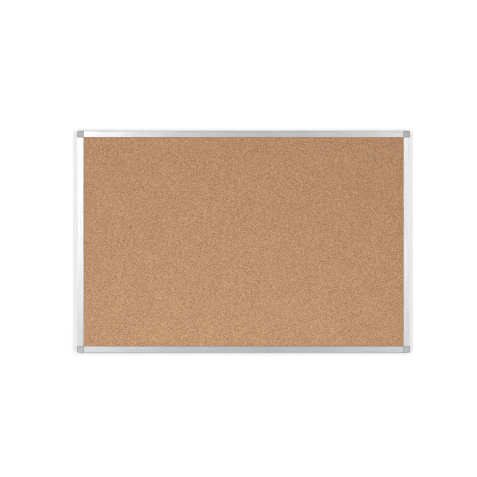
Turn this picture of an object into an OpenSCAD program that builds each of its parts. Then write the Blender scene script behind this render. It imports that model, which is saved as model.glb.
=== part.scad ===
// Framed cork notice board. A cork-faced panel sits in four aluminium rails, which plug onto
// four plastic corner blocks. A pull-off cover hides the wall screw hole in each block.
// The board hangs upright: X runs to the right, Z up, and the wall is the plane Y = 0.
// Every piece is drawn lying flat, as seen from the front with z measured out from the wall,
// and is then stood up. All sizes are in millimetres.

/* [Board] */
// Width over the whole frame
board_w = 900; // [450:10:1800]
// Height over the whole frame
board_h = 600; // [300:10:1200]

/* [Panel] */
// Thickness of the cork sheet
cork_t = 2.5; // [1.5:0.1:6]
// Thickness of the fibre core behind the cork
core_t = 9.1; // [6:0.1:16]
// Thickness of the paper liner on the back
liner_t = 0.4; // [0.2:0.1:1.2]
// Gap between the panel's edge and the web of the rail
panel_play = 0.5; // [0.2:0.1:1.5]

/* [Rails] */
// Wall of the extrusion
rail_wall = 1.2; // [0.9:0.1:2]
// Inside width of the hollow chamber
chamber_w = 10.1; // [9:0.1:14]
// How far the front lip reaches over the panel's edge
lip_overlap = 4.4; // [2.5:0.1:8]
// Free height between the cork and the front plate of the rail
lip_drop = 1.6; // [0.8:0.1:4]
// Radius of the outer front edge
edge_round = 1.5; // [0.5:0.1:5]
// Radius of the inner front edge
lip_round = 0.8; // [0.3:0.1:0.9]

/* [Corner blocks] */
// How far a corner runs past the inner edge of the rails
corner_lap = 0.5; // [0.3:0.1:4]
// Radius of the outer corner, seen from the front
corner_round = 4; // [2:0.5:8]
// Plastic left around the screw head's recess
corner_wall = 2; // [1.2:0.1:3]
// Space between the block and the panel's corner
notch_gap = 0.2; // [0.1:0.1:1]
// Length of the tongue inside the rail
tongue_len = 34; // [24:1:80]
// Space around the tongue
tongue_gap = 0.4; // [0.2:0.05:0.8]
// Space around the tongue's grip ribs
rib_gap = 0.1; // [0.05:0.05:0.15]
// Length of one grip rib along the tongue
rib_len = 1.5; // [0.8:0.1:2.5]
// Number of grip ribs on one tongue
rib_count = 4; // [2:1:5]

/* [Wall screw holes] */
// Diameter of the hole for the wall screw
wall_hole_d = 4.5; // [3.5:0.1:6]
// Diameter of the recess for the screw's head
recess_d = 8.5; // [7:0.1:10]
// Depth of the recess for the screw's head
recess_depth = 5; // [4.5:0.1:6.5]

/* [Corner covers] */
// How far a cover stands in front of the rails
cover_proud = 0.4; // [0:0.1:1.5]
// Space between a cover and the ends of the rails
cover_gap = 0.1; // [0.05:0.05:0.5]
// Space between a cover and the cork
cork_gap = 0.2; // [0.1:0.1:0.6]
// Radius of a cover's outer front edge
cover_round = 1.8; // [0.4:0.1:1.9]
// Diameter of a cover's peg
peg_d = 3; // [2:0.1:3.6]
// Length of a cover's peg
peg_len = 6; // [4:0.1:7]
// Space around a peg in its hole, on the radius
peg_gap = 0.1; // [0.05:0.05:0.2]
// Distance from a peg's axis to the inner side of the block
peg_edge = 3; // [2.6:0.1:4]

/* [Rail screws] */
// Diameter of the shank
screw_d = 3; // [2.5:0.1:4]
// Length of the shank under the head
screw_len = 9; // [6:0.5:9.5]
// Diameter of the head
head_d = 5.6; // [5:0.1:7.5]
// Height of the head
head_h = 1.4; // [1:0.1:2]
// Depth of the head below the back of the rail
head_sink = 0.2; // [0.1:0.1:1]
// Space around the shank in the rail, on the radius
screw_hole_gap = 0.2; // [0.1:0.05:0.4]
// Space around the shank in the tongue, on the radius
pilot_gap = 0.05; // [0.02:0.01:0.1]
// Distance from the corner block to the screw
screw_at = 16; // [10:0.5:18]

/* [Hidden] */
$fn = 96;
// How far a cut runs clear of the face that it opens
cut = 1;
// Smallest radius drawn
least_round = 0.1;

// Panel, in layers from the wall outwards
liner_z = rail_wall;
core_z = liner_z + liner_t;
cork_z = core_z + core_t;
cork_front = cork_z + cork_t;

// Cross-section of a rail: across from the outer edge, and out from the wall
web_at = rail_wall + chamber_w;
panel_at = web_at + rail_wall + panel_play;
rail_face = panel_at + lip_overlap;
rail_depth = cork_front + lip_drop + rail_wall;
groove_depth = head_h + head_sink;
chamber_z = groove_depth + rail_wall;
chamber_front = rail_depth - rail_wall;

// Corners
corner_side = rail_face + corner_lap;
seat_z = cork_front + cork_gap;
cover_side = corner_side - cover_gap;
cover_t = rail_depth + cover_proud - seat_z;
screw_inset = corner_wall + recess_d / 2;
notch_at = panel_at - notch_gap;
peg_at = corner_side - peg_edge;
peg_hole_extra = 0.5;
// How far a tongue's root runs into the block
tongue_root = 2;

// Panel's outline
panel_w = board_w - 2 * panel_at;
panel_h = board_h - 2 * panel_at;

// Cross recess in a screw's head
slot_len = 0.6 * head_d;
slot_w = 0.8;
slot_depth = 0.6 * head_h;
head_edge = 0.4 * head_h;

// Sides and corners, each list clockwise as seen from the front
SIDES = ["top", "right", "bottom", "left"];
CORNERS = ["top_left", "top_right", "bottom_right", "bottom_left"];

function place_in(names, name) = [for (i = [0 : len(names) - 1]) if (names[i] == name) i][0];
function turn_to(names, name) = -90 * place_in(names, name);
function is_level(side) = side == "top" || side == "bottom";
function across(side) = is_level(side) ? board_h : board_w;
function along(side) = is_level(side) ? board_w : board_h;
function rail_len(side) = along(side) - 2 * corner_side;
function corner_x(corner) = (corner == "top_left" || corner == "bottom_left" ? -1 : 1) * board_w / 2;
function corner_y(corner) = (corner == "top_left" || corner == "top_right" ? 1 : -1) * board_h / 2;

// Stands the flat drawing up against the wall
module upright() {
    rotate([90, 0, 0]) children();
}

// Moves a piece drawn for the top side, outer edge at y = 0, to one side of the board
module at_side(side) {
    rotate([0, 0, turn_to(SIDES, side)]) translate([0, across(side) / 2, 0]) children();
}

// Moves a piece drawn for the top left corner, outer corner at the origin, to one corner
module at_corner(corner) {
    translate([corner_x(corner), corner_y(corner), 0]) rotate([0, 0, turn_to(CORNERS, corner)]) children();
}

// Draws the children for the top arm of a corner and again for its other arm
module both_arms() {
    children();
    mirror([1, 1, 0]) children();
}

// Runs a rail cross-section along x from one place to another, its outer edge at y = 0
module bar(from, to) {
    translate([to, 0, 0]) rotate([90, 0, -90]) linear_extrude(to - from) children();
}

// A rectangle whose corner at the origin's far end is rounded
module rounded_far_corner(size, round) {
    square([size.x - round, size.y]);
    square([size.x, size.y - round]);
    intersection() {
        translate([size.x - round, size.y - round]) circle(round);
        square(size);
    }
}

// The chamber's outline, drawn in by a gap on every side
module chamber_outline(gap) {
    width = chamber_w - 2 * gap;
    depth = chamber_front - chamber_z - 2 * gap;
    round = max(edge_round - rail_wall - gap, least_round);
    translate([web_at - gap, chamber_z + gap]) mirror([1, 0]) rounded_far_corner([width, depth], round);
}

// The extrusion's outline: chamber at the outside, channel for the panel at the inside
module rail_outline() {
    difference() {
        union() {
            translate([web_at + rail_wall, 0])
                mirror([1, 0]) rounded_far_corner([web_at + rail_wall, rail_depth], edge_round);
            translate([web_at, 0]) square([rail_face - web_at, rail_wall]);
            translate([web_at, chamber_front])
                rounded_far_corner([rail_face - web_at, rail_wall], lip_round);
            translate([rail_face - rail_wall, cork_front])
                square([rail_wall, lip_drop + rail_wall - lip_round]);
        }
        chamber_outline(0);
        translate([rail_wall, -cut]) square([chamber_w, groove_depth + cut]);
    }
}

// One rail with the two screw holes in the back of its chamber
module rail(side) {
    half = rail_len(side) / 2;
    color("#c9cccd") upright() at_side(side) difference() {
        bar(-half, half) rail_outline();
        for (end = [-1, 1])
            translate([end * (half - screw_at), -(rail_wall + chamber_w / 2), groove_depth - cut])
                cylinder(d = screw_d + 2 * screw_hole_gap, h = rail_wall + 2 * cut);
    }
}

// Square with one round corner, the outline of a corner seen from the front
module corner_outline(side, round) {
    translate([side, -side]) mirror([1, 0]) rounded_far_corner([side, side], round);
}

// Tongue that goes into the end of a rail's chamber, kept below the cover's seat, with grip ribs that
// fill the chamber
module tongue() {
    pitch = tongue_len / (rib_count + 1);
    bar(corner_side - tongue_root, corner_side + tongue_len) intersection() {
        chamber_outline(tongue_gap);
        square([rail_face, seat_z - tongue_gap]);
    }
    for (i = [1 : rib_count]) {
        start = corner_side + i * pitch - rib_len / 2;
        bar(start, start + rib_len) chamber_outline(rib_gap);
    }
}

// Corner block with its two tongues, the wall screw hole and the holes for the cover's pegs
module corner_block(corner) {
    peg_hole_depth = peg_len + peg_hole_extra;
    color("#a9adb0") upright() at_corner(corner) difference() {
        union() {
            linear_extrude(seat_z) corner_outline(corner_side, corner_round);
            both_arms() tongue();
        }
        translate([notch_at, -corner_side - cut, rail_wall])
            cube([corner_side, corner_side + cut - notch_at, seat_z]);
        translate([screw_inset, -screw_inset, -cut]) cylinder(d = wall_hole_d, h = seat_z + 2 * cut);
        translate([screw_inset, -screw_inset, seat_z - recess_depth])
            cylinder(d = recess_d, h = recess_depth + cut);
        both_arms() translate([peg_at, -screw_inset, seat_z - peg_hole_depth])
            cylinder(d = peg_d + 2 * peg_gap, h = peg_hole_depth + cut);
        both_arms()
            translate([corner_side + screw_at, -(rail_wall + chamber_w / 2), chamber_z - cut])
                cylinder(d = screw_d + 2 * pilot_gap, h = screw_len + cut);
    }
}

// Pull-off cover over a corner block, with two pegs that hold it
module corner_cover(corner) {
    straight = cover_side - corner_round;
    color("#b4b8bb") upright() at_corner(corner) {
        translate([0, 0, seat_z]) {
            translate([corner_round, -corner_round, 0]) rotate([0, 0, 90])
                rotate_extrude(angle = 90) rounded_far_corner([corner_round, cover_t], cover_round);
            both_arms() translate([corner_round, -corner_round, 0]) rotate([90, 0, 90])
                linear_extrude(straight) rounded_far_corner([corner_round, cover_t], cover_round);
            translate([corner_round, -cover_side, 0]) cube([straight, straight, cover_t]);
        }
        both_arms() translate([peg_at, -screw_inset, seat_z - peg_len])
            cylinder(d = peg_d, h = peg_len + cover_t / 2);
    }
}

// One layer of the panel
module panel_layer(z, thickness) {
    upright() translate([-panel_w / 2, -panel_h / 2, z]) cube([panel_w, panel_h, thickness]);
}

// Agglomerated cork face
module cork_sheet() {
    color("#bb906f") panel_layer(cork_z, cork_t);
}

// Soft wood-fibre board that takes the pins
module core_board() {
    color("#8a6a48") panel_layer(core_z, core_t);
}

// Paper liner that balances the panel
module back_liner() {
    color("#9b8a74") panel_layer(liner_z, liner_t);
}

// Pan-head self-tapping screw, head towards the wall and its seat at the origin
module rail_screw() {
    shank_r = screw_d / 2;
    shank_root = (head_h - slot_depth) / 2;
    tip = shank_r;
    tip_r = shank_r / 4;
    difference() {
        mirror([0, 0, 1])
            rotate_extrude() rounded_far_corner([head_d / 2, head_h], head_edge);
        for (turn = [0, 90])
            rotate([0, 0, turn]) translate([-slot_len / 2, -slot_w / 2, -head_h - cut])
                cube([slot_len, slot_w, slot_depth + cut]);
    }
    rotate_extrude() polygon([
        [0, -shank_root], [shank_r, -shank_root], [shank_r, screw_len - tip],
        [tip_r, screw_len], [0, screw_len]
    ]);
}

// The screws that lock the rails to the tongues, two to a rail
module rail_screws() {
    color("#b9bcbf") upright() for (side = SIDES, end = [-1, 1])
        at_side(side)
            translate([end * (rail_len(side) / 2 - screw_at), -(rail_wall + chamber_w / 2), groove_depth])
                rail_screw();
}

rail("top");  // rail_top
rail("right");  // rail_right
rail("bottom");  // rail_bottom
rail("left");  // rail_left
corner_block("top_left");  // corner_block_top_left
corner_block("top_right");  // corner_block_top_right
corner_block("bottom_right");  // corner_block_bottom_right
corner_block("bottom_left");  // corner_block_bottom_left
corner_cover("top_left");  // corner_cover_top_left
corner_cover("top_right");  // corner_cover_top_right
corner_cover("bottom_right");  // corner_cover_bottom_right
corner_cover("bottom_left");  // corner_cover_bottom_left
cork_sheet();
core_board();
back_liner();
rail_screws();
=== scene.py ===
"""Looks of a framed cork notice board.

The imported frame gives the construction. This script finishes every surface, models the cork face, the back
liner, the corner covers and the rail screws as meshes, and sets up the studio and the camera. X runs to the
right, Z up, and the board hangs in front of the plane Y = 0. Sizes are in metres.
"""

import logging
import math
from abc import ABC, abstractmethod
from dataclasses import dataclass, field
from enum import Enum
from typing import Any, Callable, Dict, List, Mapping, Optional, Sequence, Tuple, Union

import bmesh
import bpy
from bmesh.types import BMesh, BMVert
from bpy.types import ID, Collection, ColorRamp, Material, Node, NodeSocket, NodeTree, Object
from mathutils import Matrix, Vector


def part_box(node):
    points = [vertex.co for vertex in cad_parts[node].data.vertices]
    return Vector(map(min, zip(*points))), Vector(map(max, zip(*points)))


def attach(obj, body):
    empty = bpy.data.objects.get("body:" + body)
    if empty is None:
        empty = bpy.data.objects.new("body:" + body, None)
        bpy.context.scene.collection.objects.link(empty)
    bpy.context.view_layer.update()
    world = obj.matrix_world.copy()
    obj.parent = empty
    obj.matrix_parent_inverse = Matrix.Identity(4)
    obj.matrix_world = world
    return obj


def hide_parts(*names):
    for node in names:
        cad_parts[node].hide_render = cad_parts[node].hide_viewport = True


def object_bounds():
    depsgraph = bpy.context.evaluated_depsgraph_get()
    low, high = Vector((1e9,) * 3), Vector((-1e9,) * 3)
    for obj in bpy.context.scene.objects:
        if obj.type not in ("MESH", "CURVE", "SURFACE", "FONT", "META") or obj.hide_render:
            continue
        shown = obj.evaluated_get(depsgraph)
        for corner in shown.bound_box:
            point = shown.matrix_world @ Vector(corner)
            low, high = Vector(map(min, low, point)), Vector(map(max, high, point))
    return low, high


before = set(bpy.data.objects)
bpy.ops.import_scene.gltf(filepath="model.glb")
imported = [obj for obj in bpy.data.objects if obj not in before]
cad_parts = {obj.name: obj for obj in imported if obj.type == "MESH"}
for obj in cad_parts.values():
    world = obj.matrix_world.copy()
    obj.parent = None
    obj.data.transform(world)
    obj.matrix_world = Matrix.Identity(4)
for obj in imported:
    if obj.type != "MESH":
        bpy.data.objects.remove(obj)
CAD_BOX = [list(corner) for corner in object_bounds()]
LOG = logging.getLogger("cork_board")
# Point attribute that sets where a corner cover's rim gets painted shade.
PAINTED_EDGE_SHADE = "rim"
SMOOTH_STEP = {"interpolation_type": "SMOOTHSTEP"}

MM = 0.001
Colour = Tuple[float, float, float]
Point = Tuple[float, float, float]
Pair = Tuple[float, float]
BLACK: Colour = (0.0, 0.0, 0.0)
WHITE: Colour = (1.0, 1.0, 1.0)


def srgb(*levels: int) -> Colour:
    """Turns the red, green and blue of an 8-bit display colour into linear ones, from 0 to 1."""
    shares = [level / 255 for level in levels]
    return tuple(s / 12.92 if s <= 0.04045 else ((s + 0.055) / 1.055) ** 2.4 for s in shares)


def opaque(colour: Colour) -> Tuple[float, float, float, float]:
    """Adds full alpha to a colour."""
    return (*colour, 1.0)


# Node trees


def math_operator(operation: str, reflected: bool = False) -> Callable[["Value", "Operand"], "Value"]:
    """Makes a method of values that adds a Math node.

    Args:
        operation: What the node works out.
        reflected: Whether the other operand comes first, as in 1 - mask.

    Returns:
        The method.
    """

    def method(value: "Value", other: "Operand") -> "Value":
        """Adds the Math node."""
        return value.graph.math(operation, *((other, value) if reflected else (value, other)))

    return method


@dataclass(frozen=True)
class Value:
    """A number in a node tree, at an output socket. Python's operators on it add Math nodes."""

    graph: "NodeGraph"
    socket: NodeSocket

    __add__ = math_operator("ADD")
    __radd__ = math_operator("ADD", reflected=True)
    __sub__ = math_operator("SUBTRACT")
    __rsub__ = math_operator("SUBTRACT", reflected=True)
    __mul__ = math_operator("MULTIPLY")
    __rmul__ = math_operator("MULTIPLY", reflected=True)
    __rtruediv__ = math_operator("DIVIDE", reflected=True)
    __lt__ = math_operator("LESS_THAN")
    least = math_operator("MINIMUM")

    def __abs__(self) -> "Value":
        """Size without the sign."""
        return self.graph.math("ABSOLUTE", self)

    def rise(self, start: "Operand", end: "Operand") -> "Value":
        """Goes smoothly from 0, where this is at the start, to 1 at the end."""
        sockets = {"Value": self, "From Min": start, "From Max": end}
        return self.graph.value("ShaderNodeMapRange", "Result", SMOOTH_STEP, sockets)


Operand = Union[Value, float]
Source = Union[Value, NodeSocket, float, Sequence[float], ID]
Settings = Optional[Mapping[str, Any]]
Sockets = Optional[Mapping[str, Source]]
Stops = Sequence[Tuple[float, Colour]]


class NodeGraph:
    """Adds nodes to one tree, of a shader or of geometry."""

    def __init__(self, tree: NodeTree) -> None:
        """Starts on a tree, which is emptied."""
        self.tree = tree
        self.tree.nodes.clear()

    def join(self, source: Source, target: NodeSocket) -> None:
        """Links a socket to another, or sets its value.

        Args:
            source: What goes in.
            target: The input socket.
        """
        if isinstance(source, Value):
            source = source.socket
        if isinstance(source, NodeSocket):
            self.tree.links.new(source, target)
        else:
            target.default_value = source

    def node(self, kind: str, settings: Settings = None, sockets: Sockets = None) -> Node:
        """Adds a node.

        Args:
            kind: The node's type.
            settings: Its properties, which are set first. "stops" holds a ramp's places and colours.
            sockets: Values or links of the inputs in use, by identifier or by name.

        Returns:
            The new node.
        """
        node = self.tree.nodes.new(kind)
        for name, setting in (settings or {}).items():
            if name == "stops":
                self.set_stops(node.color_ramp, setting)
            else:
                setattr(node, name, setting)
        for name, source in (sockets or {}).items():
            named = [s for s in node.inputs if s.enabled and name in (s.identifier, s.name)]
            self.join(source, next((s for s in named if s.identifier == name), named[0]))
        return node

    def value(self, kind: str, output: str, settings: Settings = None, sockets: Sockets = None) -> Value:
        """Adds a node, as the node method does, and reads its named output as a number."""
        return Value(self, self.node(kind, settings, sockets).outputs[output])

    @staticmethod
    def result(node: Node) -> NodeSocket:
        """The output that a node with several kinds of data has in use."""
        return next(socket for socket in node.outputs if socket.enabled)

    @staticmethod
    def set_stops(ramp: ColorRamp, stops: Stops) -> None:
        """Gives a colour ramp its stops.

        Args:
            ramp: The ramp, with its two first stops.
            stops: Place and colour of each stop, in order.
        """
        while len(ramp.elements) < len(stops):
            ramp.elements.new(1.0)
        for element, (place, colour) in zip(ramp.elements, stops):
            element.position = place
            element.color = opaque(colour)

    def math(self, operation: str, *operands: Operand) -> Value:
        """Works on one or two numbers with a Math node."""
        sockets = dict(zip(("Value", "Value_001"), operands))
        return self.value("ShaderNodeMath", "Value", {"operation": operation}, sockets)

    def vector(self, operation: str, *operands: Source) -> NodeSocket:
        """Works on one or two vectors with a Vector Math node."""
        sockets = dict(zip(("Vector", "Vector_001"), operands))
        return self.node("ShaderNodeVectorMath", {"operation": operation}, sockets).outputs["Vector"]

    def combine(self, x: Operand, y: Operand, z: Operand) -> NodeSocket:
        """Joins three numbers to a vector."""
        return self.node("ShaderNodeCombineXYZ", sockets={"X": x, "Y": y, "Z": z}).outputs["Vector"]

    def parts(self, vector: NodeSocket) -> List[Value]:
        """Splits a vector into its three numbers."""
        node = self.node("ShaderNodeSeparateXYZ", sockets={"Vector": vector})
        return [Value(self, output) for output in node.outputs]


class Surface(NodeGraph):
    """One material's tree, with a Principled shader at its end.

    A pattern lies on Object coordinates, unless it is given another place.
    """

    def __init__(self, name: str, constants: Mapping[str, Source]) -> None:
        """Makes the material.

        Args:
            name: The material's name.
            constants: Values of the shader's sockets that are the same all over.
        """
        self.material = bpy.data.materials.new(name)
        self.material.use_nodes = True
        super().__init__(self.material.node_tree)
        self.shader = self.node("ShaderNodeBsdfPrincipled", sockets=constants)
        self.node("ShaderNodeOutputMaterial", sockets={"Surface": self.shader.outputs["BSDF"]})
        self.place = self.node("ShaderNodeTexCoord").outputs["Object"]

    def feed(self, **varying: Source) -> Material:
        """Links what varies over the surface to the shader.

        Args:
            varying: Links, by the name of the shader's socket in small letters.

        Returns:
            The finished material.
        """
        for name, source in varying.items():
            self.join(source, self.shader.inputs[name.replace("_", " ").title()])
        return self.material

    def stretched(self, scale: Sequence[float]) -> NodeSocket:
        """Object coordinates, scaled along each axis."""
        sockets = {"Vector": self.place, "Scale": scale}
        return self.node("ShaderNodeMapping", sockets=sockets).outputs["Vector"]

    def noise(self, size: float, detail: float = 2.0, place: Optional[NodeSocket] = None) -> Value:
        """Smooth noise around 0.5, by the length of its largest features and its number of finer layers."""
        sockets = {"Vector": place or self.place, "Scale": 1 / size, "Detail": detail}
        return self.value("ShaderNodeTexNoise", "Fac", sockets=sockets)

    def cells(self, size: float, place: Optional[NodeSocket] = None) -> Value:
        """Fills space with cells of a size that each have one random number from 0 to 1."""
        cells = self.node("ShaderNodeTexVoronoi", sockets={"Vector": place or self.place, "Scale": 1 / size})
        return self.value("ShaderNodeSeparateColor", "Red", sockets={"Color": cells.outputs["Color"]})

    def cell_edge(self, size: float) -> Value:
        """Distance to the nearest border of cells of that size, in cell widths."""
        sockets = {"Vector": self.place, "Scale": 1 / size}
        return self.value("ShaderNodeTexVoronoi", "Distance", {"feature": "DISTANCE_TO_EDGE"}, sockets)

    def attribute(self, name: str) -> Value:
        """A number that the piece's own points hold."""
        return self.value("ShaderNodeAttribute", "Fac", {"attribute_name": name})

    def mix(self, share: Operand, first: Source, second: Source) -> NodeSocket:
        """Mixes two colours, by the share of the second from 0 to 1."""
        sockets = {"Factor_Float": share, "A_Color": first, "B_Color": second}
        return self.result(self.node("ShaderNodeMix", {"data_type": "RGBA"}, sockets))

    def ramp(self, share: Value, stops: Stops) -> NodeSocket:
        """Turns a number into a colour, by the place and colour of each stop."""
        return self.node("ShaderNodeValToRGB", {"stops": stops}, {"Fac": share}).outputs["Color"]

    def bump(self, height: Value, depth: float) -> NodeSocket:
        """Turns a height from 0 to 1 into a normal, by how deep the full height is."""
        sockets = {"Height": height, "Distance": depth, "Strength": 1.0}
        return self.node("ShaderNodeBump", sockets=sockets).outputs["Normal"]


class GeometryGraph(NodeGraph):
    """A Geometry Nodes tree with named inputs, which is run once and leaves a plain mesh."""

    def __init__(self, name: str, inputs: Mapping[str, Any]) -> None:
        """Makes the tree.

        Args:
            name: The tree's name.
            inputs: Value of each named input, whose type is also the socket's. One is the Material.
        """
        super().__init__(bpy.data.node_groups.new(name, "GeometryNodeTree"))
        self.inputs = inputs
        kinds = {label: type(value).__name__.title() for label, value in inputs.items()}
        for label, kind in {"Geometry": "Geometry", **kinds}.items():
            self.tree.interface.new_socket(label, in_out="INPUT", socket_type=f"NodeSocket{kind}")
        self.tree.interface.new_socket("Geometry", in_out="OUTPUT", socket_type="NodeSocketGeometry")
        self.given = self.node("NodeGroupInput").outputs

    def number(self, label: str) -> Value:
        """A named input as a number."""
        return Value(self, self.given[label])

    def random(self, low: Source, high: Source, seed: Operand, kind: str = "FLOAT") -> NodeSocket:
        """Draws a random value between two others for each point, a FLOAT or a FLOAT_VECTOR."""
        sockets = {"Min": low, "Max": high, "Seed": seed}
        return self.result(self.node("FunctionNodeRandomValue", {"data_type": kind}, sockets))

    def end(self, geometry: NodeSocket) -> None:
        """Ends the tree in Realize Instances and Set Material.

        Args:
            geometry: What the tree has made.
        """
        real = self.node("GeometryNodeRealizeInstances", sockets={"Geometry": geometry})
        sockets = {"Geometry": real.outputs["Geometry"], "Material": self.given["Material"]}
        dressed = self.node("GeometryNodeSetMaterial", sockets=sockets)
        self.node("NodeGroupOutput", sockets={"Geometry": dressed.outputs["Geometry"]})

    def run(self, piece: Object) -> None:
        """Runs the tree on a piece and leaves the result as its plain mesh.

        Args:
            piece: The object.
        """
        modifier = piece.modifiers.new(self.tree.name, "NODES")
        modifier.node_group = self.tree
        for item in self.tree.interface.items_tree:
            if item.in_out == "INPUT" and item.name in self.inputs:
                modifier[item.identifier] = self.inputs[item.name]
        keep_evaluated(piece)


# Meshes


def add_object(name: str, mesh: BMesh) -> Object:
    """Turns a bmesh into an object of the scene.

    Args:
        name: The object's name.
        mesh: Its mesh, which is freed.

    Returns:
        The new object.
    """
    data = bpy.data.meshes.new(name)
    mesh.to_mesh(data)
    mesh.free()
    item = bpy.data.objects.new(name, data)
    bpy.context.scene.collection.objects.link(item)
    return item


def new_piece(name: str, mesh: BMesh) -> Object:
    """Turns a closed bmesh into an object of the scene, with its faces pointing outwards."""
    bmesh.ops.recalc_face_normals(mesh, faces=mesh.faces)
    return add_object(name, mesh)


def keep_evaluated(piece: Object) -> None:
    """Makes an object's modified mesh its own and removes the modifiers.

    Args:
        piece: The object.
    """
    bpy.context.view_layer.update()
    evaluated = piece.evaluated_get(bpy.context.evaluated_depsgraph_get())
    result = bpy.data.meshes.new_from_object(evaluated)
    piece.modifiers.clear()
    piece.data = result


def smooth(piece: Object, crease: float) -> None:
    """Shades a piece smooth, apart from edges that turn by more than the crease angle in degrees."""
    piece.data.shade_smooth()
    piece.data.set_sharp_from_angle(angle=math.radians(crease))


def bridge(mesh: BMesh, rings: Sequence[Sequence[BMVert]]) -> None:
    """Joins each ring of points to the next by faces. A ring of one point is a pole.

    Args:
        mesh: The mesh that holds the points.
        rings: The rings, in order.
    """
    for lower, upper in zip(rings, rings[1:]):
        steps = max(len(lower), len(upper))
        for step in range(steps):
            after = (step + 1) % steps
            corners = [lower[step % len(lower)], lower[after % len(lower)]]
            corners += [upper[after % len(upper)], upper[step % len(upper)]]
            mesh.faces.new(list(dict.fromkeys(corners)))


def lathe(profile: Sequence[Pair], steps: int) -> BMesh:
    """Turns a profile round the Y axis into a closed shell.

    Args:
        profile: Radius and height of each point, from the axis at one end to the axis at the other.
        steps: Number of faces round the axis.

    Returns:
        The shell.
    """
    shell = bmesh.new()
    rings = []
    for radius, height in profile:
        count = steps if radius else 1
        turns = [2 * math.pi * step / count for step in range(count)]
        rings.append([shell.verts.new((radius * math.cos(t), height, radius * math.sin(t))) for t in turns])
    bridge(shell, rings)
    return shell


# Finishes


@dataclass(frozen=True)
class PressedCork:
    """Cork granules pressed in a binder and sanded flat."""

    granule: float = 1.7 * MM
    crumb: float = 0.9 * MM
    grit: float = 0.4 * MM
    patch: float = 60 * MM
    pale: Colour = srgb(222, 178, 139)
    middle: Colour = srgb(194, 151, 116)
    dark: Colour = srgb(156, 112, 79)
    bark: Colour = srgb(121, 80, 53)
    binder: Colour = srgb(143, 101, 69)
    granule_tone: float = 0.62
    crumb_tone: float = 0.26
    grit_tone: float = 0.12
    patch_tone: float = 0.1
    seam_width: float = 0.12
    seam_tone: float = 0.45
    bark_share: float = 0.012
    bark_tone: float = 0.75
    bark_shift: Point = (0.31, 0.17, 0.23)
    granule_height: float = 0.6
    grit_height: float = 0.25
    seam_depth: float = 0.7
    relief: float = 0.15 * MM
    roughness: float = 0.9
    crumb_roughness: float = 0.12

    def material(self) -> Material:
        """Makes granules, crumbs between them, flecks of bark and dark lines of binder.

        Returns:
            The material.
        """
        surface = Surface("pressed_cork", {"Specular IOR Level": 0.2})
        granule = surface.cells(self.granule)
        crumb = surface.cells(self.crumb)
        grit = surface.noise(self.grit, detail=3.0)
        patch = surface.noise(self.patch, detail=3.0)
        tone = self.granule_tone * granule + self.crumb_tone * crumb + self.grit_tone * grit
        tone = tone + self.patch_tone * (patch - 0.5)
        colour = surface.ramp(tone, ((0.1, self.dark), (0.5, self.middle), (0.9, self.pale)))
        seam = 1 - surface.cell_edge(self.granule).rise(0.0, self.seam_width)
        colour = surface.mix(self.seam_tone * seam, colour, opaque(self.binder))
        fleck = surface.cells(self.granule, surface.vector("ADD", surface.place, self.bark_shift))
        colour = surface.mix(self.bark_tone * (fleck < self.bark_share), colour, opaque(self.bark))
        height = self.granule_height * granule + self.grit_height * grit - self.seam_depth * seam
        return surface.feed(
            base_color=colour,
            roughness=self.roughness + self.crumb_roughness * (crumb - 0.5),
            normal=surface.bump(height, self.relief),
        )


class Grain(Enum):
    """Direction that an extrusion's drawn lines run in, as the number of that axis."""

    LEVEL = 0
    UPRIGHT = 2


@dataclass(frozen=True)
class SatinAluminium:
    """Anodised extrusion with fine lines along its length."""

    grain: Grain
    line_length: float = 90 * MM
    line_width: float = 0.14 * MM
    line_shift: Point = (31.7, 11.3, 53.9)
    cloud: float = 35 * MM
    light: Colour = srgb(241, 243, 244)
    dark: Colour = srgb(228, 229, 231)
    spread: float = 1.5
    line_tone: float = 1.5
    cloud_tone: float = 0.6
    roughness: float = 0.34
    line_roughness: float = 0.1
    cloud_roughness: float = 0.08

    def material(self) -> Material:
        """Makes two layers of lines, which tip the surface a little, across the grain only.

        Returns:
            The material.
        """
        surface = Surface(f"satin_aluminium_{self.grain.name.lower()}", {"Metallic": 1.0})
        scale = [1 / self.line_width] * 3
        scale[self.grain.value] = 1 / self.line_length
        lines = surface.stretched(scale)
        first = surface.noise(1.0, place=lines) - 0.5
        second = surface.noise(1.0, place=surface.vector("ADD", lines, self.line_shift)) - 0.5
        tip = [self.spread * first, self.spread * second]
        tip.insert(self.grain.value, 0.0)
        facing = surface.node("ShaderNodeNewGeometry").outputs["Normal"]
        tilted = surface.vector("ADD", facing, surface.combine(*tip))
        cloud = surface.noise(self.cloud, detail=3.0) - 0.5
        shade = 0.5 + self.line_tone * first + self.cloud_tone * cloud
        return surface.feed(
            base_color=surface.ramp(shade, ((0.0, self.dark), (1.0, self.light))),
            roughness=self.roughness + self.line_roughness * second + self.cloud_roughness * cloud,
            normal=surface.vector("NORMALIZE", tilted),
        )


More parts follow.
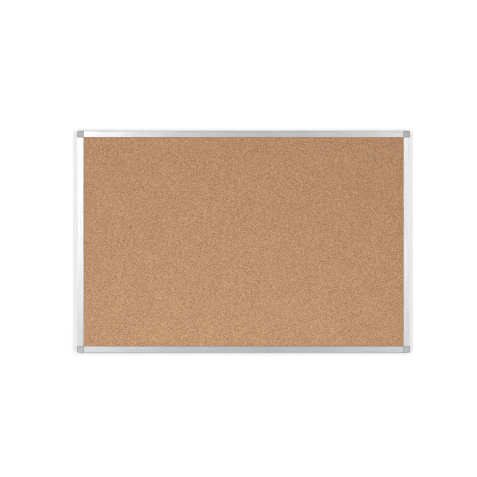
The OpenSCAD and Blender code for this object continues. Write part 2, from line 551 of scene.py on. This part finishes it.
@dataclass(frozen=True)
class MouldedPlastic:
    """Plastic from a spark-eroded mould, with a fine dull grain."""

    name: str
    colour: Colour
    shade: Colour
    # How dark the painted shade along a cover's rim is; it stands in for the shading of the rounded edges.
    rim_shade: float = 0.0
    grain: float = 0.35 * MM
    cloud: float = 6 * MM
    rub: float = 24 * MM
    rub_fade: Pair = (0.55, 0.75)
    cloud_tone: float = 0.9
    grain_tone: float = 0.7
    relief: float = 0.03 * MM
    roughness: float = 0.5
    grain_roughness: float = 0.25
    rub_gloss: float = 0.12

    def material(self) -> Material:
        """Makes mould grain, slow tone changes, faint rubbed spots and painted shade along the rim, which
        stands in for the shading of the rounded edges.

        Returns:
            The material.
        """
        surface = Surface(self.name, {"Specular IOR Level": 0.45})
        grain = surface.noise(self.grain)
        cloud = surface.noise(self.cloud, detail=3.0)
        rubbed = surface.noise(self.rub, detail=5.0).rise(*self.rub_fade)
        tone = 0.5 + self.cloud_tone * (cloud - 0.5) + self.grain_tone * (grain - 0.5)
        colour = surface.ramp(tone, ((0.2, self.shade), (0.8, self.colour)))
        # The base colour is darkened towards black along the rim: painted shade of the rounded edges.
        return surface.feed(
            base_color=surface.mix(self.rim_shade * surface.attribute(PAINTED_EDGE_SHADE), colour, opaque(BLACK)),
            roughness=self.roughness + self.grain_roughness * (grain - 0.5) - self.rub_gloss * rubbed,
            normal=surface.bump(grain, self.relief),
        )


@dataclass(frozen=True)
class LinerPaper:
    """Unbleached paper with loose fibres in its pulp."""

    fibre_length: float = 5 * MM
    fibre_width: float = 0.25 * MM
    flock: float = 4 * MM
    cloud: float = 90 * MM
    pale: Colour = srgb(190, 162, 128)
    dark: Colour = srgb(166, 137, 104)
    fibre: Colour = srgb(120, 92, 64)
    cloud_tone: float = 0.5
    flock_tone: float = 1.1
    level_tone: float = 0.5
    upright_tone: float = 0.3
    level_strand: Pair = (0.68, 0.76)
    upright_strand: Pair = (0.7, 0.78)
    strand_tone: float = 0.5
    relief: float = 0.05 * MM
    roughness: float = 0.88
    flock_roughness: float = 0.12

    def material(self) -> Material:
        """Makes clouded, flocky pulp, and dark fibres in two directions.

        Returns:
            The material.
        """
        surface = Surface("kraft_liner", {"Specular IOR Level": 0.2})
        along, across = 1 / self.fibre_length, 1 / self.fibre_width
        level = surface.noise(1.0, place=surface.stretched((along, across, across)))
        upright = surface.noise(1.0, place=surface.stretched((across, across, along)))
        cloud = surface.noise(self.cloud)
        flock = surface.noise(self.flock, detail=4.0)
        tone = 0.5 + self.cloud_tone * (cloud - 0.5) + self.flock_tone * (flock - 0.5)
        tone = tone + self.level_tone * (level - 0.5) + self.upright_tone * (upright - 0.5)
        colour = surface.ramp(tone, ((0.1, self.dark), (0.9, self.pale)))
        strand = level.rise(*self.level_strand) + upright.rise(*self.upright_strand)
        return surface.feed(
            base_color=surface.mix(self.strand_tone * strand, colour, opaque(self.fibre)),
            roughness=self.roughness + self.flock_roughness * (flock - 0.5),
            normal=surface.bump(0.5 * flock + 0.5 * level, self.relief),
        )


@dataclass(frozen=True)
class SoftFibreboard:
    """Felted wood fibre, pressed into a light board."""

    fibre: float = 1.1 * MM
    layering: Point = (1.0, 4.0, 1.0)
    clump: float = 7 * MM
    pale: Colour = srgb(168, 132, 92)
    dark: Colour = srgb(104, 76, 50)
    fibre_tone: float = 1.3
    clump_tone: float = 0.8
    relief: float = 0.3 * MM
    roughness: float = 0.92
    clump_roughness: float = 0.1

    def material(self) -> Material:
        """Makes clumped fibres that lie in layers.

        Returns:
            The material.
        """
        surface = Surface("soft_fibreboard", {"Specular IOR Level": 0.15})
        fibre = surface.noise(self.fibre, detail=4.0, place=surface.stretched(self.layering))
        clump = surface.noise(self.clump, detail=3.0)
        tone = 0.5 + self.fibre_tone * (fibre - 0.5) + self.clump_tone * (clump - 0.5)
        return surface.feed(
            base_color=surface.ramp(tone, ((0.1, self.dark), (0.9, self.pale))),
            roughness=self.roughness + self.clump_roughness * (clump - 0.5),
            normal=surface.bump(fibre, self.relief),
        )


@dataclass(frozen=True)
class ZincPlate:
    """Blue-passivated zinc on a pressed steel head."""

    bloom: float = 1.6 * MM
    grain: float = 0.2 * MM
    bright: Colour = srgb(214, 217, 220)
    dull: Colour = srgb(172, 174, 172)
    relief: float = 0.02 * MM
    roughness: float = 0.3
    bloom_roughness: float = 0.35
    grain_roughness: float = 0.15

    def material(self) -> Material:
        """Makes bright metal under a patchy dull bloom.

        Returns:
            The material.
        """
        surface = Surface("zinc_plate", {"Metallic": 1.0})
        bloom = surface.noise(self.bloom, detail=4.0)
        grain = surface.noise(self.grain)
        uneven = self.bloom_roughness * (bloom - 0.5)
        return surface.feed(
            base_color=surface.ramp(bloom, ((0.35, self.bright), (0.65, self.dull))),
            roughness=self.roughness + uneven + self.grain_roughness * (grain - 0.5),
            normal=surface.bump(grain, self.relief),
        )


# Sub-assemblies


@dataclass
class StandIn(ABC):
    """A modelled mesh that takes a CAD node's place."""

    node: str
    body: str
    slot: str
    material: Material
    low: Vector = field(init=False)
    high: Vector = field(init=False)
    piece: Object = field(init=False)

    def __post_init__(self) -> None:
        """Reads the node's box."""
        self.low, self.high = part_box(self.node)

    def inputs(self, *names: str) -> Dict[str, Any]:
        """Turns the fields of these names into named inputs of a tree, such as Pit share from pit_share."""
        return {name.replace("_", " ").capitalize(): getattr(self, name) for name in names}

    @abstractmethod
    def build(self) -> None:
        """Makes the piece."""

    def dress(self) -> None:
        """Puts the piece in the node's place."""
        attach(self.piece, self.body)
        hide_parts(self.node)
        LOG.info("%s: %d faces", self.piece.name, len(self.piece.data.polygons))


class Facing(Enum):
    """The side of a sheet that shows, as the sign of Y towards it."""

    FRONT = -1
    BACK = 1


@dataclass
class ReliefSheet(StandIn):
    """One layer of the panel whose shown face isn't quite flat.

    The relief is cut into the face, so the sheet stays inside its solid, and it leaves a flat rim where the
    rails hold the sheet.
    """

    facing: Facing
    cell: float
    jitter: float
    relief: float
    wave: float
    pit: float
    pit_share: float
    rim: float
    seed: int
    rim_fade: float = 1.5
    wave_share: float = 0.6
    face_tolerance: float = 0.01 * MM
    crease: float = 50.0
    face: float = field(init=False)
    rear: float = field(init=False)

    def __post_init__(self) -> None:
        """Reads the node's box, and which of its ends is the shown face."""
        super().__post_init__()
        ends = (self.low.y, self.high.y)
        self.face, self.rear = ends if self.facing is Facing.FRONT else reversed(ends)

    def blank(self) -> BMesh:
        """Makes the flat sheet: a fine grid on the shown face, four edges and a plain rear.

        Returns:
            The closed sheet.
        """
        half = (self.high - self.low) / 2
        middle = (self.high + self.low) / 2
        columns, rows = (round(2 * length / self.cell) for length in (half.x, half.z))
        sheet = bmesh.new()
        bmesh.ops.create_grid(sheet, x_segments=columns, y_segments=rows, size=1.0)
        for vert in sheet.verts:
            vert.co = (middle.x + half.x * vert.co.x, self.face, middle.z + half.z * vert.co.y)
        rim = [edge for edge in sheet.edges if edge.is_boundary]
        grown = bmesh.ops.extrude_edge_only(sheet, edges=rim)["geom"]
        for vert in grown:
            if isinstance(vert, BMVert):
                vert.co.y = self.rear
        bmesh.ops.edgeloop_fill(sheet, edges=[edge for edge in sheet.edges if edge.is_boundary])
        return sheet

    def relief_tree(self) -> GeometryGraph:
        """Makes the tree that moves the shown face's points, sideways at random and inwards by the relief.

        Returns:
            The tree.
        """
        sizes = ("face", "rim", "jitter", "relief", "pit", "pit_share", "wave")
        inputs = self.inputs(*sizes, "seed", "material")
        inputs["Half width"] = (self.high.x - self.low.x) / 2
        inputs["Half height"] = (self.high.z - self.low.z) / 2
        inputs["Inwards"] = float(-self.facing.value)
        graph = GeometryGraph(f"{self.node}_relief", inputs)
        seed, rim = graph.number("Seed"), graph.number("Rim")
        position = graph.node("GeometryNodeInputPosition").outputs["Position"]
        x, y, z = graph.parts(position)
        margin = (graph.number("Half width") - abs(x)).least(graph.number("Half height") - abs(z))
        on_face = abs(y - graph.number("Face")) < self.face_tolerance
        free = margin.rise(rim, self.rim_fade * rim) * on_face
        sockets = {"Vector": position, "W": seed, "Scale": 1.0 / graph.number("Wave")}
        swell = graph.value("ShaderNodeTexNoise", "Fac", {"noise_dimensions": "4D"}, sockets)
        chance = Value(graph, graph.random(0.0, 1.0, seed))
        pitted = graph.number("Pit") * (chance < graph.number("Pit share"))
        uneven = self.wave_share * swell + (1 - self.wave_share) * chance
        depth = free * (graph.number("Relief") * uneven + pitted)
        sway = graph.parts(graph.random((-1.0, -1.0, -1.0), (1.0, 1.0, 1.0), seed + 1, "FLOAT_VECTOR"))
        reach = graph.number("Jitter") * free
        offset = graph.combine(reach * sway[0], graph.number("Inwards") * depth, reach * sway[2])
        sockets = {"Geometry": graph.given["Geometry"], "Offset": offset}
        graph.end(graph.node("GeometryNodeSetPosition", sockets=sockets).outputs["Geometry"])
        return graph

    def build(self) -> None:
        """Makes the sheet and lays its relief."""
        self.piece = new_piece(f"{self.node}_face", self.blank())
        self.relief_tree().run(self.piece)
        smooth(self.piece, self.crease)


class Corner(Enum):
    """A corner of the board, as the signs of X and Z towards it."""

    TOP_LEFT = (-1, 1)
    TOP_RIGHT = (1, 1)
    BOTTOM_RIGHT = (1, -1)
    BOTTOM_LEFT = (-1, -1)

    @property
    def label(self) -> str:
        """The corner's name in the frame."""
        return self.name.lower()


@dataclass
class CornerCover(StandIn):
    """Pull-off cover of one corner: a crowned plate with soft edges, and two pegs behind it."""

    corner: Corner
    outer_round: float = 4 * MM
    soft_edge: float = 1.8 * MM
    crisp_edge: float = 0.6 * MM
    crown: float = 0.3 * MM
    peg_radius: float = 1.5 * MM
    peg_length: float = 6 * MM
    peg_chamfer: float = 0.4 * MM
    peg_root: float = 1 * MM
    peg_inset: float = 6.25 * MM
    peg_reach: float = 14.9 * MM
    # Width of the band along the plate's edge that gets painted shade.
    rim_width: float = 4 * MM
    arc_steps: int = 8
    side_steps: int = 12
    peg_steps: int = 32
    crease: float = 40.0
    side: float = field(init=False)

    def __post_init__(self) -> None:
        """Reads the node's box, and the plate's side from it."""
        super().__post_init__()
        self.side = self.high.x - self.low.x

    def outline(self, inset: float) -> List[Pair]:
        """Draws the plate's outline, measured inwards from the board's outer corner.

        Args:
            inset: How far the outline is drawn in.

        Returns:
            Each point's distances from the board's side and from its top or bottom, the arc's first.
        """
        centre, radius = self.outer_round, self.outer_round - inset
        points = []
        for step in range(self.arc_steps + 1):
            turn = math.radians(180 + 90 * step / self.arc_steps)
            points.append((centre + radius * math.cos(turn), centre + radius * math.sin(turn)))
        far = self.side - inset
        corners = [points[-1], (far, inset), (far, far), (inset, far), points[0]]
        for (x0, y0), (x1, y1) in zip(corners, corners[1:]):
            for step in range(1, self.side_steps + 1):
                share = step / self.side_steps
                points.append((x0 + share * (x1 - x0), y0 + share * (y1 - y0)))
        return points[:-1]

    def drop(self, at: Pair) -> float:
        """Lowers the face at its rounded edges, soft at the board's outside and crisp towards the rails.

        Args:
            at: A point of the face.

        Returns:
            How much lower the face is there.
        """
        x, y = at
        centre = self.outer_round
        rounded = x < centre and y < centre
        outside = centre - math.hypot(centre - x, centre - y) if rounded else min(x, y)
        inside = self.side - max(x, y)
        drops = []
        for distance, radius in ((outside, self.soft_edge), (inside, self.crisp_edge)):
            rest = max(radius - distance, 0.0)
            drops.append(radius - math.sqrt(max(radius**2 - rest**2, 0.0)))
        return max(drops)

    def place(self, at: Pair, height: float) -> Vector:
        """Turns a point measured from the board's outer corner into one of the frame.

        Args:
            at: The point's distances from the board's side and from its top or bottom.
            height: The point's Y.

        Returns:
            The point.
        """
        sign_x, sign_z = self.corner.value
        outer_x = self.high.x if sign_x > 0 else self.low.x
        outer_z = self.high.z if sign_z > 0 else self.low.z
        return Vector((outer_x - sign_x * at[0], height, outer_z - sign_z * at[1]))

    def plate(self) -> BMesh:
        """Makes the plate: flat seat, straight sides, round edges and crowned face.

        Returns:
            The closed plate.
        """
        front, seat = self.low.y, self.high.y - self.peg_length
        middle = self.side / 2
        turns = [math.radians(90 * step / self.arc_steps) for step in range(self.arc_steps + 1)]
        insets = {r * (1 - math.cos(turn)) for r in (self.soft_edge, self.crisp_edge) for turn in turns}
        levels = [[(at, seat) for at in self.outline(0.0)]]
        for inset in sorted(insets):
            levels.append([(at, front + self.crown + self.drop(at)) for at in self.outline(inset)])
        flat = self.outline(max(insets))
        for step in range(1, self.arc_steps):
            share = 1 - step / self.arc_steps
            ring = [(middle + share * (x - middle), middle + share * (y - middle)) for x, y in flat]
            levels.append([(at, front + self.crown * share**2) for at in ring])
        levels.append([((middle, middle), front)])
        plate = bmesh.new()
        rings = [[plate.verts.new(self.place(*point)) for point in ring] for ring in levels]
        plate.faces.new(rings[0])
        bridge(plate, rings)
        return plate

    def peg(self, at: Pair) -> BMesh:
        """Makes one peg, with a chamfered tip.

        Args:
            at: Place of its axis.

        Returns:
            The closed peg.
        """
        end, radius = self.high.y, self.peg_radius
        root = end - self.peg_length - self.peg_root
        profile = [(0.0, root), (radius, root), (radius, end - self.peg_chamfer)]
        profile += [(radius - self.peg_chamfer, end), (0.0, end)]
        peg = lathe(profile, self.peg_steps)
        bmesh.ops.translate(peg, verts=peg.verts, vec=self.place(at, 0.0))
        return peg

    def mark_rim(self) -> None:
        """Writes each point's nearness to the plate's edge, which sets how much painted shade it gets: 1 on
        the edge, and 0 from the shaded edge's width inwards.
        """
        middle = self.place((self.side / 2, self.side / 2), 0.0)
        rim = self.piece.data.attributes.new(PAINTED_EDGE_SHADE, "FLOAT", "POINT")
        for vert, item in zip(self.piece.data.vertices, rim.data):
            inside = self.side / 2 - max(abs(vert.co.x - middle.x), abs(vert.co.z - middle.z))
            item.value = max(1 - inside / self.rim_width, 0.0)

    def build(self) -> None:
        """Makes the plate, fuses the pegs to it and gives it its finish."""
        self.piece = new_piece(f"cover_{self.corner.label}", self.plate())
        for at in ((self.peg_reach, self.peg_inset), (self.peg_inset, self.peg_reach)):
            peg = new_piece("peg", self.peg(at))
            fusion = self.piece.modifiers.new("fuse", "BOOLEAN")
            fusion.operation = "UNION"
            fusion.solver = "EXACT"
            fusion.object = peg
            keep_evaluated(self.piece)
            bpy.data.objects.remove(peg)
        smooth(self.piece, self.crease)
        self.mark_rim()
        self.piece.data.materials.clear()
        self.piece.data.materials.append(self.material)


class Rail(Enum):
    """A rail of the frame: the way it runs, and the sign of the other axis towards the board's edge."""

    TOP = (Grain.LEVEL, 1)
    BOTTOM = (Grain.LEVEL, -1)
    LEFT = (Grain.UPRIGHT, -1)
    RIGHT = (Grain.UPRIGHT, 1)

    @property
    def node(self) -> str:
        """The rail's name in the frame."""
        return f"rail_{self.name.lower()}"


@dataclass
class RailScrews(StandIn):
    """Pan-head screws in the backs of the rails, two to a rail."""

    from_end: float = 16 * MM
    from_edge: float = 6.25 * MM
    head_radius: float = 2.8 * MM
    head_height: float = 1.4 * MM
    head_side: float = 0.56 * MM
    head_dome: float = 0.25 * MM
    shank_radius: float = 1.5 * MM
    shank_length: float = 9 * MM
    tip_radius: float = 0.375 * MM
    slot_length: float = 3.4 * MM
    slot_width: float = 0.8 * MM
    slot_depth: float = 0.85 * MM
    seed: int = 4
    steps: int = 32
    shoulder_steps: int = 6
    dome_steps: int = 4
    crease: float = 35.0

    def blank(self) -> BMesh:
        """Turns a screw without its recess, head towards +Y and its seat at the origin.

        Returns:
            The closed screw.
        """
        profile = [(0.0, -self.shank_length), (self.tip_radius, -self.shank_length)]
        profile += [(self.shank_radius, self.shank_radius - self.shank_length), (self.shank_radius, 0.0)]
        profile += [(self.head_radius, 0.0), (self.head_radius, self.head_side)]
        shoulder = self.head_height - self.head_side - self.head_dome
        for step in range(1, self.shoulder_steps + 1):
            turn = math.radians(90 * step / self.shoulder_steps)
            radius = self.head_radius - shoulder * (1 - math.cos(turn))
            profile.append((radius, self.head_side + shoulder * math.sin(turn)))
        edge = profile[-1][0]
        for step in range(1, self.dome_steps + 1):
            share = 1 - step / self.dome_steps
            profile.append((share * edge, self.head_height - self.head_dome * share**2))
        return lathe(profile, self.steps)

    def seats(self) -> BMesh:
        """Marks each screw's seat with a point.

        Returns:
            Loose points.
        """
        seat = Vector((0.0, self.high.y - self.head_height, 0.0))
        points = bmesh.new()
        for rail in Rail:
            low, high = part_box(rail.node)
            grain, outwards = rail.value
            along, across = (0, 2) if grain is Grain.LEVEL else (2, 0)
            seat[across] = high[across] - self.from_edge if outwards > 0 else low[across] + self.from_edge
            for end in (low[along] + self.from_end, high[along] - self.from_end):
                seat[along] = end
                points.verts.new(seat)
        return points

    def screw_tree(self, blank: Object) -> GeometryGraph:
        """Makes the tree that cuts the cross recess and sets a screw on each seat, turned at random.

        Args:
            blank: The screw without its recess.

        Returns:
            The tree.
        """
        inputs = self.inputs("head_height", "slot_length", "slot_width", "slot_depth", "seed", "material")
        graph = GeometryGraph("rail_screws_set", {"Blank": blank, **inputs})
        depth = 2 * graph.number("Slot depth")
        length, width = graph.number("Slot length"), graph.number("Slot width")
        top = graph.combine(0.0, graph.number("Head height"), 0.0)
        given = graph.node("GeometryNodeObjectInfo", sockets={"Object": graph.given["Blank"]})
        screw = given.outputs["Geometry"]
        cutting = {"operation": "DIFFERENCE", "solver": "EXACT"}
        for size in (graph.combine(length, depth, width), graph.combine(width, depth, length)):
            bar = graph.node("GeometryNodeMeshCube", sockets={"Size": size}).outputs["Mesh"]
            moved = graph.node("GeometryNodeTransform", sockets={"Geometry": bar, "Translation": top})
            sockets = {"Mesh 1": screw, "Mesh 2": moved.outputs["Geometry"]}
            screw = graph.node("GeometryNodeMeshBoolean", cutting, sockets).outputs["Mesh"]
        turn = Value(graph, graph.random(0.0, math.pi, graph.number("Seed")))
        sockets = {"Euler": graph.combine(0.0, turn, 0.0)}
        rotation = graph.node("FunctionNodeEulerToRotation", sockets=sockets).outputs["Rotation"]
        sockets = {"Points": graph.given["Geometry"], "Instance": screw, "Rotation": rotation}
        graph.end(graph.node("GeometryNodeInstanceOnPoints", sockets=sockets).outputs["Instances"])
        return graph

    def build(self) -> None:
        """Makes the eight screws as one piece."""
        blank = new_piece("screw_blank", self.blank())
        self.piece = new_piece("pan_head_screws", self.seats())
        self.screw_tree(blank).run(self.piece)
        bpy.data.objects.remove(blank)
        smooth(self.piece, self.crease)


@dataclass
class FrameAndCore:
    """The pieces whose CAD solids show as they are: rails, corner blocks and the core board."""

    blocks: MouldedPlastic = MouldedPlastic("moulded_block", srgb(158, 162, 166), srgb(146, 150, 154))
    core: SoftFibreboard = SoftFibreboard()

    def dress(self) -> None:
        """Finishes the nodes."""
        metals = {grain: SatinAluminium(grain).material() for grain in Grain}
        plastic = self.blocks.material()
        finishes = {rail.node: metals[rail.value[0]] for rail in Rail}
        finishes.update({f"corner_block_{corner.label}": plastic for corner in Corner})
        finishes["core_board"] = self.core.material()
        for name, material in finishes.items():
            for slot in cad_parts[name].material_slots:
                slot.material = material
            LOG.info("%s: finished in %s", name, material.name)


# Studio


class Reach(Enum):
    """What a light falls on: how it is linked to sheets of the stage, and which."""

    BOARD = ("EXCLUDE", ("wall", "floor"))
    ROOM = ("EXCLUDE", ("wall",))
    WALL = ("INCLUDE", ("wall",))

    def links(self) -> Collection:
        """Makes the collection that tells a light what it falls on.

        Returns:
            The collection.
        """
        state, names = self.value
        links = bpy.data.collections.new(f"light_on_{self.name.lower()}")
        for name in names:
            links.objects.link(bpy.data.objects[name])
        for link in links.collection_objects:
            link.light_linking.link_state = state
        return links


@dataclass(frozen=True)
class SoftBox:
    """A rectangular soft light, which may or may not show in gloss."""

    name: str
    place: Point
    aim: Point
    size: Pair
    radiance: float
    reach: Reach = Reach.ROOM
    mirrored: bool = True

    def build(self) -> None:
        """Hangs the light, unseen by the camera."""
        lamp = bpy.data.lights.new(self.name, "AREA")
        lamp.shape = "RECTANGLE"
        lamp.size, lamp.size_y = self.size
        lamp.energy = self.radiance * math.pi * self.size[0] * self.size[1]
        light = bpy.data.objects.new(self.name, lamp)
        light.location = self.place
        towards = Vector(self.aim) - light.location
        light.rotation_euler = towards.to_track_quat("-Z", "Y").to_euler()
        light.visible_camera = False
        light.visible_glossy = self.mirrored
        light.light_linking.receiver_collection = self.reach.links()
        bpy.context.scene.collection.objects.link(light)


@dataclass
class Studio:
    """Camera, lights, wall and floor."""

    image_px: int = 477
    board_px: float = 333.0
    middle_px: Pair = (243.6, 241.8)
    filter_px: float = 1.0
    lens: float = 85.0
    sensor: float = 36.0
    room_sides: float = 1.18
    room_front: float = 0.53
    room_behind: float = 0.6
    room_above: float = 0.15
    room_below: float = 0.42
    wall_gap: float = 1 * MM
    wall_size: Pair = (4.0, 2.6)
    wall_glow: float = 0.195
    wall_white: float = 0.76
    wall_fade: Pair = (0.05, 0.22)
    floor_level: float = -1.0
    floor_size: Pair = (8.0, 8.0)
    floor_fade: Pair = (1.2, 3.6)
    floor_glow: float = 0.3
    floor_pale: Colour = srgb(236, 236, 235)
    floor_dark: Colour = srgb(226, 226, 225)
    floor_cloud: float = 0.4
    floor_roughness: float = 0.6
    cloud_roughness: float = 0.2
    lights: Sequence[SoftBox] = (
        SoftBox("left_box", (-1.1, -1.9, 0.25), (-0.2, 0.0, 0.0), (1.2, 1.5), 1.09),
        SoftBox("left_strip", (-1.0, -1.9, 0.6), (-0.2, 0.0, 0.0), (0.8, 1.4), 0.57),
        SoftBox("right_box", (1.25, -1.9, 0.2), (0.2, 0.0, 0.0), (1.2, 1.5), 1.1),
        SoftBox("upper_box", (-1.3, -0.9, 1.4), (-0.45, 0.0, 0.3), (1.0, 0.6), 1.5),
        SoftBox("fill", (-0.1, -1.1, -0.8), (-0.1, 0.0, -0.1), (1.6, 0.3), 5.5, Reach.BOARD, False),
        SoftBox("left_wash", (-1.25, -2.6, 0.0), (0.0, 0.0, 0.0), (0.48, 3.0), 8.15, Reach.WALL),
        SoftBox("right_wash", (1.7, -2.6, 0.0), (0.0, 0.0, 0.0), (0.48, 3.0), 9.25, Reach.WALL),
        SoftBox("rear_left", (-1.5, 2.2, 0.9), (0.0, 0.0, 0.0), (1.4, 1.4), 2.4, Reach.BOARD),
        SoftBox("rear_right", (1.3, 2.4, 1.3), (0.0, 0.0, 0.0), (1.4, 1.4), 1.6, Reach.BOARD),
    )

    def camera(self) -> None:
        """Sets the camera square on to the board, as far off as the photograph's framing asks."""
        low, high = (Vector(corner) for corner in CAD_BOX)
        per_px = (high.x - low.x) / self.board_px
        distance = self.image_px * per_px * self.lens / self.sensor
        shift_x, shift_z = (self.image_px / 2 - px for px in self.middle_px)
        data = bpy.data.cameras.new("camera")
        data.lens = self.lens
        data.sensor_width = self.sensor
        camera = bpy.data.objects.new("camera", data)
        middle = (low + high) / 2
        camera.location = (middle.x + shift_x * per_px, low.y - distance, middle.z - shift_z * per_px)
        camera.rotation_euler = (math.radians(90), 0.0, 0.0)
        bpy.context.scene.collection.objects.link(camera)
        bpy.context.scene.camera = camera

    def room(self) -> None:
        """Lights the room by direction: sides, above, below, front and behind. The camera sees white."""
        world = bpy.data.worlds.new("room")
        world.use_nodes = True
        bpy.context.scene.world = world
        graph = NodeGraph(world.node_tree)
        seen = graph.value("ShaderNodeLightPath", "Is Camera Ray")
        x, y, z = graph.parts(graph.node("ShaderNodeTexCoord").outputs["Generated"])
        aside = x * x
        up, down = 0.5 * (abs(z) + z), 0.5 * (abs(z) - z)
        ahead, behind = 0.5 * (abs(y) - y), 0.5 * (abs(y) + y)
        light = self.room_sides * (aside * aside)
        light += self.room_above * (up * up) + self.room_below * (down * down)
        light += self.room_front * (ahead * ahead) + self.room_behind * (behind * behind)
        sockets = {"Strength": seen + (1 - seen) * light, "Color": opaque(WHITE)}
        sky = graph.node("ShaderNodeBackground", sockets=sockets)
        graph.node("ShaderNodeOutputWorld", sockets={"Surface": sky.outputs["Background"]})

    def sheet(
        self, name: str, size: Pair, place: Matrix, material: Material, hidden_from: Sequence[str]
    ) -> None:
        """Lays out a flat sheet of the stage.

        Args:
            name: Its name.
            size: Its two sides.
            place: Where it lies.
            material: Its finish.
            hidden_from: The kinds of light rays that pass it by.
        """
        flat = bmesh.new()
        matrix = place @ Matrix.Diagonal((*size, 1.0, 1.0))
        bmesh.ops.create_grid(flat, x_segments=1, y_segments=1, size=0.5, matrix=matrix)
        sheet = add_object(name, flat)
        sheet.data.materials.append(material)
        for rays in hidden_from:
            setattr(sheet, f"visible_{rays}", False)

    def wall_paint(self) -> Material:
        """Makes the wall's white, which shows from the front only and glows away from the board.

        Returns:
            The material.
        """
        white = opaque(3 * (self.wall_white,))
        matt = {"Base Color": white, "Specular IOR Level": 0.0, "Emission Strength": 1.0}
        surface = Surface("wall_paint", matt)
        x, _, z = surface.parts(surface.place)
        half_width, _, half_height = CAD_BOX[1]
        margin = (half_width - abs(x)).least(half_height - abs(z))
        near, far = self.wall_fade
        level = self.wall_glow + (1 - margin.rise(-far, -near))
        behind = surface.value("ShaderNodeNewGeometry", "Backfacing")
        return surface.feed(emission_color=surface.combine(level, level, level), alpha=1 - behind)

    def wall(self) -> None:
        """Stands a white wall behind the board, which only the camera sees."""
        upright = Matrix.Rotation(math.radians(90), 4, "X")
        place = Matrix.Translation((0.0, self.wall_gap, self.floor_level + self.wall_size[1] / 2)) @ upright
        hidden_from = ("diffuse", "glossy", "transmission", "shadow")
        self.sheet("wall", self.wall_size, place, self.wall_paint(), hidden_from)

    def floor(self) -> None:
        """Lays a pale floor below the board, which fades into the room's white and lights nothing else."""
        glow = {"Emission Color": opaque(WHITE), "Emission Strength": self.floor_glow}
        surface = Surface("floor_paint", glow)
        cloud = surface.noise(self.floor_cloud, detail=4.0)
        x, y, _ = surface.parts(surface.place)
        far = surface.math("SQRT", x * x + y * y).rise(*self.floor_fade)
        paint = surface.feed(
            base_color=surface.ramp(cloud, ((0.3, self.floor_dark), (0.7, self.floor_pale))),
            roughness=self.floor_roughness + self.cloud_roughness * (cloud - 0.5),
            alpha=1 - far,
        )
        place = Matrix.Translation((0.0, 0.0, self.floor_level))
        self.sheet("floor", self.floor_size, place, paint, hidden_from=("diffuse", "glossy"))

    def build(self) -> None:
        """Sets up everything around the board."""
        scene = bpy.context.scene
        scene.view_settings.view_transform = "Standard"
        scene.cycles.filter_width = self.filter_px
        scene.cycles.denoising_prefilter = "NONE"
        self.camera()
        self.room()
        self.floor()
        self.wall()
        for light in self.lights:
            light.build()


def main() -> None:
    """Builds the studio and the board, in order."""
    logging.basicConfig(level=logging.INFO, format="%(name)s: %(message)s")
    Studio().build()
    FrameAndCore().dress()
    cork = ReliefSheet(
        "cork_sheet", "frame", "cork", PressedCork().material(), Facing.FRONT, cell=2.4 * MM,
        jitter=0.8 * MM, relief=0.16 * MM, wave=7 * MM, pit=0.2 * MM, pit_share=0.05, rim=4.4 * MM, seed=11,
    )
    liner = ReliefSheet(
        "back_liner", "frame", "liner_paper", LinerPaper().material(), Facing.BACK, cell=6 * MM,
        jitter=0.5 * MM, relief=0.16 * MM, wave=70 * MM, pit=0.0, pit_share=0.0, rim=8 * MM, seed=23,
    )
    # The covers get painted shade along their rims.
    plastic = MouldedPlastic("moulded_cover", srgb(188, 188, 190), srgb(175, 177, 179), rim_shade=0.3)
    grey = plastic.material()
    covers = [
        CornerCover(f"corner_cover_{corner.label}", f"cover_{corner.label}", "cover_plastic", grey, corner)
        for corner in Corner
    ]
    screws = RailScrews("rail_screws", "frame", "zinc_steel", ZincPlate().material())
    for part in (cork, liner, *covers, screws):
        part.build()
        part.dress()


if __name__ == "__main__":
    main()
